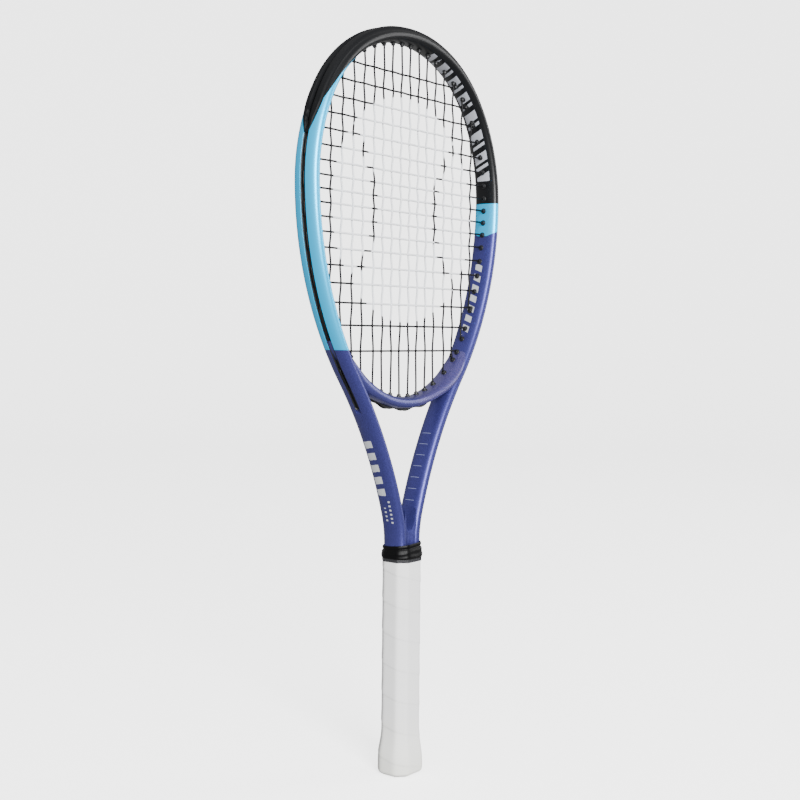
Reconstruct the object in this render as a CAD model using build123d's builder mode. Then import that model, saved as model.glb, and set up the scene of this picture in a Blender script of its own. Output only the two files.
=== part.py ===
"""Strung tennis racket: moulded hairpin frame, throat bridge, grommets, woven strings and handle.

Millimetres. The racket stands on its butt: X is the width of the head, Y is normal to the
strings and Z runs from the butt to the tip. The origin is the centre of the butt's lowest face.
"""

import os
from math import asin, atan2, cos, degrees, hypot, radians, sin, sqrt

from build123d import *

os.makedirs("parts", exist_ok=True)

# ---- driving dimensions: frame ------------------------------------------------------------

head_top_z = 677.5  # frame centreline at the tip
head_arcs = [(140, 23), (121, 35.5), (152, 32), (290, 35.7)]  # (radius, turn in degrees)
arm_arcs = [(419, 19.2), (97, 17.0)]  # the arms curve the other way, back to vertical
tube_width = 12.0  # across the tube, in the plane of the strings
beam_mid = 26.0  # tube depth along Y beside the middle of the head
beam_ends = 23.4  # tube depth at the tip and down the arms
tube_side_wall = 1.5
tube_face_wall = 2.3
groove_width = 5.4
groove_depth = 3.2
groove_end_z = 338  # where the string groove stops on the outside of each arm
leg_end_z = 206.5  # the visible shaft ends here, inside the collar
web_top_z = 238
web_depth = 17.0
insert_width = 24.0  # hollow tang inside the handle, along X
insert_depth = 18.0
insert_wall = 2.2
insert_bottom_z = 16.0

# ---- driving dimensions: throat bridge ----------------------------------------------------

bridge_leaves_at = 117.5  # turn angle where the bridge's upper face leaves the frame
bridge_width = 10.5  # from its upper face to its lower face
bridge_depth = 21.0
bridge_wall = 1.6
joint_gap = 0.02  # bonded faces of the bridge and the frame

# ---- driving dimensions: strings ----------------------------------------------------------

main_offsets = [6.4, 19.15, 32.0, 45.0, 58.8, 72.7, 87.6, 103.3]  # each side of the centre
mouth_shift = 2.6  # the mains fan out to their lower holes in the arms by this much
cross_top_z = 643.9
cross_gaps = [16.5, 16.0, 14.8, 14.2, 14.0, 13.1, 12.2, 11.8, 11.6, 12.0, 12.6, 13.5, 14.4, 15.3]
cross_gaps += [16.8, 19.6, 22.6]
string_diameter = 1.3
weave_gap = 0.04
edge_margin = 2.0  # no crossing is nearer than this to the end of a string's run
loop_radius = 1.2  # bend where the string turns into the groove
loop_lift = 0.8  # string loops are chords over the curved groove floor
knot_diameter = 3.6
knot_seat = 0.5

# ---- driving dimensions: grommets and bumper ----------------------------------------------

strip_thickness = 0.9
strip_clearance = 0.1
barrel_bore = 2.8
barrel_diameter = 3.6
barrel_clearance = 0.1
barrel_stands_in = 2.6  # how far a barrel stands out of the inner wall
bumper_thickness = 1.7
bumper_half_depth = 9.0
bumper_tip_half_depth = 3.4
bumper_wing_z = 640
bumper_tip_z = 577
channel_width = 3.2
bridge_strip_half_width = 50

# ---- driving dimensions: handle -----------------------------------------------------------

pallet_width = 30.4
pallet_depth = 27.0
pallet_bottom_z = 14.0
cap_skirt = 1.0  # the cap's skirt lies flush on a step of the pallet
bevel_share = 0.24  # corner cut of the octagon, as a share of its depth
grip_thickness = 1.8
grip_bottom_z = 1.2
grip_top_gap = 0.5  # between the grip's top end and the shaft's shoulder
butt_width = 37.2
butt_depth = 33.2
butt_wide_z = 14.0
butt_taper_top_z = 42.0
butt_edge = 5.0  # how much narrower the lowest face is than the flare
butt_edge_height = 4.0
butt_floor = 3.0
badge_diameter = 21.0
badge_thickness = 1.4
handle_clearance = 0.1
staple_wire = 1.0
staple_span = 8.0
staple_leg = 3.4
staple_z = 33.0
plug_length = 18.0
tape_thickness = 0.3
tape_bottom_z = 199

grip_top_z = leg_end_z - grip_top_gap

# ---- driving dimensions: rubber collar ----------------------------------------------------

collar_bottom_z = 197.0
collar_top_z = 216.5
collar_lip_height = 3.0
collar_wall = 1.2
collar_running_gap = 0.35
collar_shaft_gap = 0.6
collar_corner = 4.5  # inner corner radius; the octagon's corners stay inside it

# ---- the frame's outline ------------------------------------------------------------------


def outline_arcs():
    """Right half of the centreline as (centre x, centre z, radius, first angle, last angle).

    Angles are the turn from the tip, in degrees: 0 at the tip, 90 where the head is widest.
    A negative radius curves outwards.
    """
    x, z, angle = 0.0, head_top_z, 0.0
    arcs = []
    for radius, turn in head_arcs + [(-radius, turn) for radius, turn in arm_arcs]:
        centre_x = x - radius * sin(radians(angle))
        centre_z = z - radius * cos(radians(angle))
        last = angle + turn if radius > 0 else angle - turn
        arcs.append((centre_x, centre_z, radius, angle, last))
        x = centre_x + radius * sin(radians(last))
        z = centre_z + radius * cos(radians(last))
        angle = last
    return arcs, x, z


arcs, leg_x, leg_top_z = outline_arcs()
head_side_arcs = arcs[: len(head_arcs)]


def arc_point(arc, angle, outward=0.0):
    """Point of the outline at a turn angle, moved outward along the frame's normal."""
    centre_x, centre_z, radius = arc[:3]
    x = centre_x + (radius + outward) * sin(radians(angle))
    z = centre_z + (radius + outward) * cos(radians(angle))
    return x, z


# The bridge's upper face is one arc, tangent to the inner wall of the frame on both sides.
flank = head_side_arcs[-1]
bridge_x, bridge_z = arc_point(flank, bridge_leaves_at, -tube_width / 2)
bridge_face_radius = bridge_x / sin(radians(bridge_leaves_at))
bridge_centre_z = bridge_z - bridge_face_radius * cos(radians(bridge_leaves_at))
bridge_mid_radius = bridge_face_radius + bridge_width / 2


def lip_at(x=None, z=None, top=True):
    """Inner end of a string hole's sleeve, right half, and the hole's outward direction."""
    for centre_x, centre_z, radius, first, last in head_side_arcs:
        inside = radius - tube_width / 2 - barrel_stands_in
        share = (z - centre_z) / inside if x is None else (x - centre_x) / inside
        if abs(share) > 1:
            continue
        if x is None:
            angle = 90 - degrees(asin(share))
        else:
            angle = degrees(asin(share)) if top else 180 - degrees(asin(share))
        if first <= angle <= min(last, bridge_leaves_at):
            direction = (sin(radians(angle)), cos(radians(angle)))
            return (centre_x + inside * direction[0], centre_z + inside * direction[1]), direction
    inside = bridge_face_radius - barrel_stands_in
    drop = bridge_centre_z - z if x is None else sqrt(inside**2 - x**2)
    across = sqrt(inside**2 - drop**2) if x is None else x
    lip = (across, bridge_centre_z - drop)
    if across < bridge_strip_half_width:
        return lip, (across / inside, -drop / inside)
    reach = hypot(lip[0] - flank[0], lip[1] - flank[1])
    return lip, ((lip[0] - flank[0]) / reach, (lip[1] - flank[1]) / reach)


def outer_reach(mouth, direction, level):
    """Distance from a mouth, along its direction, to the given level of the outer wall."""
    if mouth[1] < bridge_centre_z and mouth[0] < bridge_strip_half_width:
        return bridge_width / 2 + level
    best = None
    for centre_x, centre_z, radius, first, last in arcs:
        wall = abs(radius) + level if radius > 0 else abs(radius) - level
        dx, dz = mouth[0] - centre_x, mouth[1] - centre_z
        along = dx * direction[0] + dz * direction[1]
        root = along**2 - (dx**2 + dz**2 - wall**2)
        if root < 0:
            continue
        for distance in (-along - sqrt(root), -along + sqrt(root)):
            x = mouth[0] + distance * direction[0] - centre_x
            z = mouth[1] + distance * direction[1] - centre_z
            angle = degrees(atan2(x, z) if radius > 0 else atan2(-x, -z)) % 360
            on_arc = min(first, last) - 0.01 <= angle <= max(first, last) + 0.01
            if on_arc and distance > 0 and (best is None or distance < best):
                best = distance
    return best


groove_floor = tube_width / 2 - groove_depth  # outward distance from the centreline
string_level = groove_floor + strip_thickness + loop_lift + string_diameter / 2
bridge_level = bridge_width / 2 - groove_depth + strip_thickness + loop_lift + string_diameter / 2
lane = string_diameter / 2 + weave_gap / 2  # mains keep to +Y and crosses to -Y outside the frame

cross_heights = [cross_top_z]
for gap in cross_gaps:
    cross_heights.append(cross_heights[-1] - gap)
main_positions = [-offset for offset in reversed(main_offsets)] + main_offsets


def fan_out(offset):
    """The outer mains, but for the last, meet the frame a little further out."""
    return mouth_shift if bridge_strip_half_width < offset < main_offsets[-1] else 0


class StringHole:
    """One hole of the string bed: mouth, direction and length, mirrored for the left half."""

    def __init__(self, side, **place):
        lip, direction = lip_at(**place)
        mouth = [lip[i] + direction[i] * barrel_stands_in for i in (0, 1)]
        self.lip = Vector(side * lip[0], 0, lip[1])
        self.mouth = Vector(side * mouth[0], 0, mouth[1])
        self.direction = Vector(side * direction[0], 0, direction[1])
        self.in_bridge = mouth[1] < bridge_centre_z and mouth[0] < bridge_strip_half_width
        level = bridge_level if self.in_bridge else string_level
        self.corner = self.mouth + self.direction * outer_reach(mouth, direction, level)
        floor = (bridge_width if self.in_bridge else tube_width) / 2 - groove_depth
        self.length = outer_reach(mouth, direction, floor)
        self.side = side


top_holes = [StringHole(1 if x > 0 else -1, x=abs(x), top=True) for x in main_positions]
bottom_holes = [
    StringHole(1 if x > 0 else -1, x=abs(x) + fan_out(abs(x)), top=False) for x in main_positions
]
left_holes = [StringHole(-1, z=z) for z in cross_heights]
right_holes = [StringHole(1, z=z) for z in cross_heights]
all_holes = top_holes + bottom_holes + left_holes + right_holes


# ---- shared shapes ------------------------------------------------------------------------


def section_plane(arc, angle):
    """Plane across the frame: local x points outward and local y along Y."""
    x, z = arc_point(arc, angle)
    outward = (sin(radians(angle)), 0, cos(radians(angle)))
    ahead = (cos(radians(angle)), 0, -sin(radians(angle)))
    return Plane(origin=(x, 0, z), x_dir=outward, z_dir=ahead)


def groove_cut(clearance=0.0):
    """Sketch of the string groove, sunk into the outer side of the tube."""
    with Locations((tube_width / 2 + 2, 0)):
        Rectangle(
            2 * groove_depth + 4 + 2 * clearance,
            groove_width + 2 * clearance,
            mode=Mode.SUBTRACT,
        )


def tube_sketch(plane, grooved, hollow_only=False, extra=0.0):
    """Elliptical section of the tube, solid or only its hollow, grown by an extra clearance."""
    with BuildSketch(plane) as section:
        if hollow_only:
            Ellipse(tube_width / 2 - tube_side_wall, beam_mid / 2 - tube_face_wall)
        else:
            Ellipse(tube_width / 2 + extra, beam_mid / 2 + extra)
        if grooved:
            groove_cut(tube_side_wall if hollow_only else 0.0)
    return section.sketch


def turned(section, arc, first, last, mode=Mode.ADD):
    """Revolve a section about its arc's centre, from the first turn angle to the last."""
    centre_axis = Axis((arc[0], 0, arc[1]), (0, 1, 0))
    revolve(section, axis=centre_axis, revolution_arc=last - first, mode=mode)


def angle_at_height(arc, height):
    """Turn angle where an arm's centreline passes a height."""
    return degrees(atan2(sqrt(arc[2] ** 2 - (height - arc[1]) ** 2), (height - arc[1]) * -1))


def octagon(width, depth):
    """Handle section: a rectangle with its corners cut at 45 degrees."""
    cut = bevel_share * depth
    half_x, half_y = width / 2, depth / 2
    with BuildLine() as outline:
        Polyline(
            (half_x, half_y - cut),
            (half_x - cut, half_y),
            (cut - half_x, half_y),
            (-half_x, half_y - cut),
            (-half_x, cut - half_y),
            (cut - half_x, -half_y),
            (half_x - cut, -half_y),
            (half_x, cut - half_y),
            close=True,
        )
    make_face(outline.edges())


def octagon_stack(stations, mode=Mode.ADD):
    """Loft octagons through (height, width, depth) stations, one straight part at a time."""
    for below, above in zip(stations, stations[1:]):
        with BuildSketch(Plane.XY.offset(below[0])) as lower:
            octagon(below[1], below[2])
        with BuildSketch(Plane.XY.offset(above[0])) as upper:
            octagon(above[1], above[2])
        loft([lower.sketch, upper.sketch], ruled=True, mode=mode)


def finish(piece, name, color):
    """Label a piece, colour it and write its file."""
    piece.part.label = name
    piece.part.color = Color(color)
    export_step(piece.part, f"parts/{name}.step")
    print(name, len(piece.part.solids()), round(piece.part.volume))


# ---- frame --------------------------------------------------------------------------------


def add_tube(extra=0.0, hollow_only=False, mode=Mode.ADD):
    """Right half of the hairpin: head, arm and leg, grooved down to groove_end_z."""
    shoulder = arcs[len(head_arcs)]
    groove_end = angle_at_height(shoulder, groove_end_z)
    spans = [(arc, arc[3], arc[4], True) for arc in head_side_arcs]
    spans += [(shoulder, shoulder[3], groove_end, True), (shoulder, groove_end, shoulder[4], False)]
    spans += [(arcs[-1], arcs[-1][3], arcs[-1][4], False)]
    for arc, first, last, grooved in spans:
        section = tube_sketch(section_plane(arc, first), grooved and not extra, hollow_only, extra)
        turned(section, arc, first, last, mode)
    leg_plane = Plane(origin=(leg_x, 0, leg_top_z), x_dir=(1, 0, 0), z_dir=(0, 0, -1))
    leg_bottom = leg_end_z + (insert_wall if hollow_only else 0)
    extrude(tube_sketch(leg_plane, False, hollow_only, extra), leg_top_z - leg_bottom, mode=mode)


def trim_to_beam():
    """The tube is deepest beside the middle of the head and slimmer at the tip and the arms."""
    slim, deep = beam_ends / 2, beam_mid / 2
    arm_z, middle_z, tip_z = 300, 490, head_top_z + 20
    with BuildSketch(Plane.YZ) as beam:
        with BuildLine():
            Polyline((0, tip_z), (0, 0), (slim, 0), (slim, arm_z))
            Spline((slim, arm_z), (deep, middle_z), (slim, tip_z), tangents=[(0, 1), (0, 1)])
            Line((slim, tip_z), (0, tip_z))
        make_face()
        mirror(about=Plane.YZ)
    extrude(beam.sketch, amount=2 * head_top_z, both=True, mode=Mode.INTERSECT)


def drill(holes, radius, before=3.0, after=4.0):
    """Straight bores along string holes, cut from the solid being built."""
    for hole in holes:
        start = Plane(origin=hole.mouth - hole.direction * before, z_dir=hole.direction)
        with Locations(start.location):
            Cylinder(
                radius,
                before + hole.length + after,
                align=(Align.CENTER, Align.CENTER, Align.MIN),
                mode=Mode.SUBTRACT,
            )


hole_radius = barrel_diameter / 2 + barrel_clearance

with BuildPart() as tube_hollow:
    add_tube(hollow_only=True)
    mirror(about=Plane.YZ)
    with BuildSketch(Plane.XY.offset(insert_bottom_z)):
        RectangleRounded(insert_width - 2 * insert_wall, insert_depth - 2 * insert_wall, 3)
    extrude(amount=leg_end_z - insert_bottom_z - insert_wall)

with BuildPart() as frame_tube:
    add_tube()
    mirror(about=Plane.YZ)
    trim_to_beam()
    with BuildSketch(Plane.XZ.offset(-web_depth / 2)):
        with BuildLine():
            Polyline((leg_x, web_top_z), (leg_x, leg_end_z), (-leg_x, leg_end_z), (-leg_x, web_top_z))
            ThreePointArc((leg_x, web_top_z), (0, web_top_z - leg_x), (-leg_x, web_top_z))
        make_face()
    extrude(amount=web_depth)
    with BuildSketch(Plane.XY.offset(insert_bottom_z)):
        RectangleRounded(insert_width, insert_depth, 5)
    extrude(amount=leg_end_z - insert_bottom_z + 1)
    add(tube_hollow.part, mode=Mode.SUBTRACT)
    drill(all_holes, hole_radius)
finish(frame_tube, "frame_tube", "slateblue")

# ---- throat bridge ------------------------------------------------------------------------


def bridge_section(plane, hollow_only=False):
    """Section of the bridge: local x points down, away from the head."""
    with BuildSketch(plane) as section:
        if hollow_only:
            Ellipse(bridge_width / 2 - bridge_wall, bridge_depth / 2 - bridge_wall)
        else:
            Ellipse(bridge_width / 2, bridge_depth / 2)
        keep = bridge_wall if hollow_only else 0
        with Locations((bridge_width / 2 + 2, 0)):
            Rectangle(
                2 * groove_depth + 4 + 2 * keep, groove_width + 2 * keep, mode=Mode.SUBTRACT
            )
    return section.sketch


bridge_arc = (0, bridge_centre_z, bridge_mid_radius)
bridge_end_angle = 180 - degrees(asin((bridge_x - tube_width) / bridge_mid_radius))
bridge_sweep = (bridge_end_angle, 360 - bridge_end_angle)
bridge_plane = section_plane(bridge_arc, bridge_end_angle)

with BuildPart() as tube_outside:
    add_tube(extra=joint_gap)
    mirror(about=Plane.YZ)

with BuildPart() as throat_bridge:
    turned(bridge_section(bridge_plane), bridge_arc, *bridge_sweep)
    turned(bridge_section(bridge_plane, True), bridge_arc, *bridge_sweep, mode=Mode.SUBTRACT)
    add(tube_outside.part, mode=Mode.SUBTRACT)
    drill(bottom_holes, hole_radius)
finish(throat_bridge, "throat_bridge", "mediumslateblue")

# ---- grommets and bumper guard ------------------------------------------------------------


def add_barrels(holes, floor_sunk=0.3):
    """Sleeves from inside the head to the strip, one through each string hole."""
    for hole in holes:
        start = Plane(origin=hole.mouth - hole.direction * barrel_stands_in, z_dir=hole.direction)
        with Locations(start.location):
            Cylinder(
                barrel_diameter / 2,
                barrel_stands_in + hole.length + floor_sunk,
                align=(Align.CENTER, Align.CENTER, Align.MIN),
            )


def strip_section(plane, outer_width):
    """Band on the groove floor; local x points outward."""
    floor = outer_width / 2 - groove_depth + strip_clearance
    with BuildSketch(plane) as section:
        with Locations((floor, 0)):
            Rectangle(
                strip_thickness - strip_clearance,
                groove_width - 2 * strip_clearance,
                align=(Align.MIN, Align.CENTER),
            )
    return section.sketch


bumper_end_arc = head_side_arcs[2]
bumper_end_angle = degrees(atan2(
    sqrt(bumper_end_arc[2] ** 2 - (bumper_tip_z - bumper_end_arc[1]) ** 2),
    bumper_tip_z - bumper_end_arc[1],
))
strip_start_angle = bumper_end_angle + 0.2


def hole_angle(hole):
    """Turn angle of a hole's direction, from the tip."""
    return degrees(atan2(abs(hole.direction.X), hole.direction.Z))


bumper_holes = [hole for hole in all_holes if hole_angle(hole) < bumper_end_angle]
bridge_holes = [hole for hole in bottom_holes if hole.in_bridge]
side_holes = [hole for hole in all_holes if hole not in bumper_holes + bridge_holes]
left_side_holes = [hole for hole in side_holes if hole.side < 0]
right_side_holes = [hole for hole in side_holes if hole.side > 0]

with BuildPart() as side_band:
    for arc in head_side_arcs[2:]:
        first = max(arc[3], strip_start_angle)
        turned(strip_section(section_plane(arc, first), tube_width), arc, first, arc[4])
    shoulder = arcs[len(head_arcs)]
    band_end = angle_at_height(shoulder, groove_end_z + 1)
    band_plane = section_plane(shoulder, shoulder[3])
    turned(strip_section(band_plane, tube_width), shoulder, shoulder[3], band_end)

with BuildPart() as grommet_strip_right:
    add(side_band.part)
    add_barrels(right_side_holes)
    drill(right_side_holes, barrel_bore / 2)
finish(grommet_strip_right, "grommet_strip_right", "dimgray")

with BuildPart() as grommet_strip_left:
    add(side_band.part.mirror(Plane.YZ))
    add_barrels(left_side_holes)
    drill(left_side_holes, barrel_bore / 2)
finish(grommet_strip_left, "grommet_strip_left", "dimgray")

throat_half_angle = degrees(asin(bridge_strip_half_width / bridge_mid_radius))
throat_plane = section_plane(bridge_arc, 180 - throat_half_angle)

with BuildPart() as throat_grommet_strip:
    turned(
        strip_section(throat_plane, bridge_width),
        bridge_arc,
        180 - throat_half_angle,
        180 + throat_half_angle,
    )
    add_barrels(bridge_holes)
    drill(bridge_holes, barrel_bore / 2)
finish(throat_grommet_strip, "throat_grommet_strip", "dimgray")


def bumper_section(plane):
    """Guard hugging the outer half of the tube, with a tongue and a string channel in the groove."""
    inner_half = tube_width / 2 + strip_clearance
    tongue_floor = groove_floor + strip_clearance
    with BuildSketch(plane) as section:
        Ellipse(tube_width / 2 + bumper_thickness, beam_mid / 2 + bumper_thickness)
        Ellipse(inner_half, beam_mid / 2 + strip_clearance, mode=Mode.SUBTRACT)
        with Locations((tube_width / 12, 0)):
            Rectangle(
                tube_width,
                2 * bumper_half_depth,
                align=(Align.MIN, Align.CENTER),
                mode=Mode.INTERSECT,
            )
        with Locations((tongue_floor, 0)):
            Rectangle(
                inner_half + bumper_thickness / 2 - tongue_floor,
                groove_width - 2 * strip_clearance,
                align=(Align.MIN, Align.CENTER),
            )
        with Locations((groove_floor + strip_thickness, 0)):
            Rectangle(
                tube_width, channel_width, align=(Align.MIN, Align.CENTER), mode=Mode.SUBTRACT
            )
    return section.sketch


with BuildPart() as bumper_guard:
    for arc in head_side_arcs[:3]:
        last = min(arc[4], bumper_end_angle)
        turned(bumper_section(section_plane(arc, arc[3])), arc, arc[3], last)
    mirror(about=Plane.YZ)
    with BuildSketch(Plane.YZ) as wings:
        Polygon(
            (-bumper_tip_half_depth, bumper_tip_z - 20),
            (bumper_tip_half_depth, bumper_tip_z - 20),
            (bumper_tip_half_depth, bumper_tip_z),
            (bumper_half_depth + 1, bumper_wing_z),
            (bumper_half_depth + 1, head_top_z + 20),
            (-bumper_half_depth - 1, head_top_z + 20),
            (-bumper_half_depth - 1, bumper_wing_z),
            (-bumper_tip_half_depth, bumper_tip_z),
            align=None,
        )
    extrude(wings.sketch, amount=2 * head_top_z, both=True, mode=Mode.INTERSECT)
    add_barrels(bumper_holes)
    drill(bumper_holes, barrel_bore / 2)
finish(bumper_guard, "bumper_guard", "black")

# ---- strings ------------------------------------------------------------------------------

weave = string_diameter / 2 + weave_gap / 2
loop_start = 2.2 * loop_radius  # straight string left before each bend into the groove


def string_end(hole, lane_y):
    """Corner where a string turns into the groove, and the point where its bend is joined."""
    corner = hole.corner + Vector(0, lane_y, 0)
    back = (hole.lip - corner).normalized()
    return corner, corner + back * loop_start


def woven_run(start_hole, end_hole, crossings, lane_y):
    """One straight string across the bed, over and under the strings that it crosses."""
    points = [string_end(start_hole, lane_y)[1], start_hole.lip]
    points += crossings
    points += [end_hole.lip, string_end(end_hole, lane_y)[1]]
    with BuildLine(mode=Mode.PRIVATE) as path:
        Polyline(*points)
    ring = Plane(origin=points[0], z_dir=points[1] - points[0])
    with BuildSketch(ring, mode=Mode.PRIVATE) as wire:
        Circle(string_diameter / 2)
    sweep(wire.sketch, path=path.wire(), transition=Transition.RIGHT)


def groove_loop(hole_a, hole_b, lane_y):
    """The string between two neighbouring holes, outside the frame."""
    corner_a, start = string_end(hole_a, lane_y)
    corner_b, end = string_end(hole_b, lane_y)
    with BuildLine(mode=Mode.PRIVATE) as path:
        FilletPolyline(start, corner_a, corner_b, end, radius=loop_radius)
    ring = Plane(origin=start, z_dir=corner_a - start)
    with BuildSketch(ring, mode=Mode.PRIVATE) as wire:
        Circle(string_diameter / 2)
    sweep(wire.sketch, path=path.wire())


def crosses_at(main, z):
    """True where a main and a cross at height z meet inside the head."""
    inside_ends = bottom_holes[main].lip.Z + edge_margin < z < top_holes[main].lip.Z - edge_margin
    return inside_ends and abs(main_positions[main]) < lip_at(z=z)[0][0] - edge_margin


def side_of(main, cross):
    """Which side of the bed the main takes at a crossing."""
    return 1 if (main + cross) % 2 == 0 else -1


with BuildPart() as main_string:
    for main, x in enumerate(main_positions):
        crossings = [
            Vector(x, weave * side_of(main, cross), z)
            for cross, z in enumerate(cross_heights)
            if crosses_at(main, z)
        ]
        woven_run(top_holes[main], bottom_holes[main], crossings, lane)
    for main in range(len(main_positions) - 1):
        row = bottom_holes if main % 2 == 0 else top_holes
        groove_loop(row[main], row[main + 1], lane)
finish(main_string, "main_string", "darkslategray")

with BuildPart() as cross_string:
    for cross, z in enumerate(cross_heights):
        crossings = [
            Vector(x, -weave * side_of(main, cross), z)
            for main, x in enumerate(main_positions)
            if crosses_at(main, z)
        ]
        woven_run(left_holes[cross], right_holes[cross], crossings, -lane)
    for cross in range(len(cross_heights) - 1):
        row = right_holes if cross % 2 == 0 else left_holes
        groove_loop(row[cross], row[cross + 1], -lane)
finish(cross_string, "cross_string", "black")


def add_knot(hole, crossing):
    """A tied-off string end: a knot round a string, seated on its grommet's lip."""
    along = (crossing - hole.lip).normalized()
    centre = hole.lip + along * (knot_diameter / 2 + knot_seat)
    with Locations(Plane(origin=centre, z_dir=along).location):
        Sphere(knot_diameter / 2)
        Cylinder(string_diameter / 2 + weave_gap, 2 * knot_diameter, mode=Mode.SUBTRACT)


def lowest_crossing(main):
    """The crossing of a main that is next to its bottom hole."""
    cross = max(i for i, z in enumerate(cross_heights) if crosses_at(main, z))
    height = cross_heights[cross]
    return Vector(main_positions[main], weave * side_of(main, cross), height)


def leftmost_crossing(cross):
    """The crossing of a cross string that is next to its left hole."""
    z = cross_heights[cross]
    main = min(i for i in range(len(main_positions)) if crosses_at(i, z))
    return Vector(main_positions[main], -weave * side_of(main, cross), z)


# Each string's two ends are knotted round a run of the same kind, two mains or crosses in.
with BuildPart() as main_string_knots:
    for main in (2, len(main_positions) - 3):
        add_knot(bottom_holes[main], lowest_crossing(main))
finish(main_string_knots, "main_string_knots", "darkslategray")

with BuildPart() as cross_string_knots:
    for cross in (3, len(cross_heights) - 4):
        add_knot(left_holes[cross], leftmost_crossing(cross))
finish(cross_string_knots, "cross_string_knots", "black")

# ---- handle -------------------------------------------------------------------------------

pallet_top_z = leg_end_z - handle_clearance
skirt_top_z = butt_taper_top_z
step_width = pallet_width - 2 * cap_skirt - 2 * handle_clearance
step_depth = pallet_depth - 2 * cap_skirt - 2 * handle_clearance


def cut_pocket(width, depth, bottom, top, corner):
    """Rounded rectangular pocket along the handle."""
    with BuildSketch(Plane.XY.offset(bottom)) as pocket:
        RectangleRounded(width, depth, corner)
    extrude(pocket.sketch, amount=top - bottom, mode=Mode.SUBTRACT)


def staple_y():
    """Depth of the recess floor that a staple's crown lies on."""
    share = (staple_z - butt_wide_z) / (butt_taper_top_z - butt_wide_z)
    face = butt_depth + share * (pallet_depth - butt_depth)
    return face / 2 - staple_wire - 2 * handle_clearance


def staple_holes(radius, extra):
    """Leg holes of both staples, cut from the cap or the pallet."""
    for side in (-1, 1):
        for x in (-staple_span / 2, staple_span / 2):
            start = Plane(origin=(x, side * (staple_y() + extra), staple_z), z_dir=(0, -side, 0))
            with Locations(start.location):
                Cylinder(
                    radius,
                    staple_leg + extra + handle_clearance,
                    align=(Align.CENTER, Align.CENTER, Align.MIN),
                    mode=Mode.SUBTRACT,
                )


with BuildPart() as tang_plug:
    with BuildSketch(Plane.XY.offset(insert_bottom_z)):
        RectangleRounded(
            insert_width - 2 * insert_wall - handle_clearance,
            insert_depth - 2 * insert_wall - handle_clearance,
            3,
        )
    extrude(amount=plug_length)
finish(tang_plug, "tang_plug", "tan")

with BuildPart() as handle_pallet:
    octagon_stack([
        (pallet_bottom_z, step_width, step_depth),
        (skirt_top_z, step_width, step_depth),
    ])
    octagon_stack([
        (skirt_top_z, pallet_width, pallet_depth),
        (pallet_top_z, pallet_width, pallet_depth),
    ])
    cut_pocket(
        insert_width + 2 * handle_clearance,
        insert_depth + 2 * handle_clearance,
        insert_bottom_z - handle_clearance,
        pallet_top_z,
        5,
    )
    staple_holes(staple_wire / 2 + handle_clearance, 2 * staple_wire)
finish(handle_pallet, "handle_pallet", "wheat")

cap_stations = [
    (0, butt_width - butt_edge, butt_depth - butt_edge),
    (butt_edge_height, butt_width, butt_depth),
    (butt_wide_z, butt_width, butt_depth),
    (skirt_top_z - handle_clearance, pallet_width, pallet_depth),
]

with BuildPart() as butt_cap:
    octagon_stack(cap_stations)
    octagon_stack(
        [
            (pallet_bottom_z - handle_clearance, pallet_width - 2 * cap_skirt, pallet_depth - 2 * cap_skirt),
            (skirt_top_z, pallet_width - 2 * cap_skirt, pallet_depth - 2 * cap_skirt),
        ],
        mode=Mode.SUBTRACT,
    )
    cut_pocket(insert_width, insert_depth, butt_floor, pallet_bottom_z, 5)
    with BuildSketch(Plane.XY):
        Circle(badge_diameter / 2 + handle_clearance)
    extrude(amount=badge_thickness + handle_clearance, mode=Mode.SUBTRACT)
    for side in (-1, 1):
        with Locations((0, side * (staple_y() + staple_wire + 1), staple_z)):
            Box(
                staple_span + staple_wire + 4 * handle_clearance,
                2 * staple_wire + 2,
                staple_wire + 4 * handle_clearance,
                mode=Mode.SUBTRACT,
            )
    staple_holes(staple_wire / 2 + handle_clearance, staple_wire)
finish(butt_cap, "butt_cap", "dimgray")

with BuildPart() as butt_cap_badge:
    with BuildSketch(Plane.XY.offset(handle_clearance)):
        Circle(badge_diameter / 2)
    extrude(amount=badge_thickness - handle_clearance)
    chamfer(butt_cap_badge.faces().sort_by(Axis.Z)[0].edges(), 0.3)
finish(butt_cap_badge, "butt_cap_badge", "silver")

with BuildPart() as butt_cap_staples:
    for side in (-1, 1):
        top_y = side * (staple_y() + staple_wire / 2 + handle_clearance)
        end_y = side * (staple_y() - staple_leg)
        half_span = staple_span / 2
        with BuildLine():
            FilletPolyline(
                (-half_span, end_y, staple_z),
                (-half_span, top_y, staple_z),
                (half_span, top_y, staple_z),
                (half_span, end_y, staple_z),
                radius=0.6,
            )
        with BuildSketch(Plane(origin=(-half_span, end_y, staple_z), z_dir=(0, side, 0))):
            Circle(staple_wire / 2)
        sweep()
finish(butt_cap_staples, "butt_cap_staples", "silver")


def grip_stations(extra):
    """Outside of the cap and pallet under the grip, grown by an extra thickness."""
    low, high = cap_stations[0], cap_stations[1]
    share = (grip_bottom_z - low[0]) / (high[0] - low[0])
    bottom_width = low[1] + share * (high[1] - low[1])
    bottom_depth = low[2] + share * (high[2] - low[2])
    stations = [(grip_bottom_z, bottom_width, bottom_depth)] + cap_stations[1:]
    stations.append((grip_top_z, pallet_width, pallet_depth))
    return [(z, width + 2 * extra, depth + 2 * extra) for z, width, depth in stations]


with BuildPart() as base_grip:
    octagon_stack(grip_stations(grip_thickness))
    octagon_stack(grip_stations(handle_clearance / 2), mode=Mode.SUBTRACT)
finish(base_grip, "base_grip", "white")

grip_width = pallet_width + 2 * grip_thickness
grip_depth = pallet_depth + 2 * grip_thickness

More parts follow.
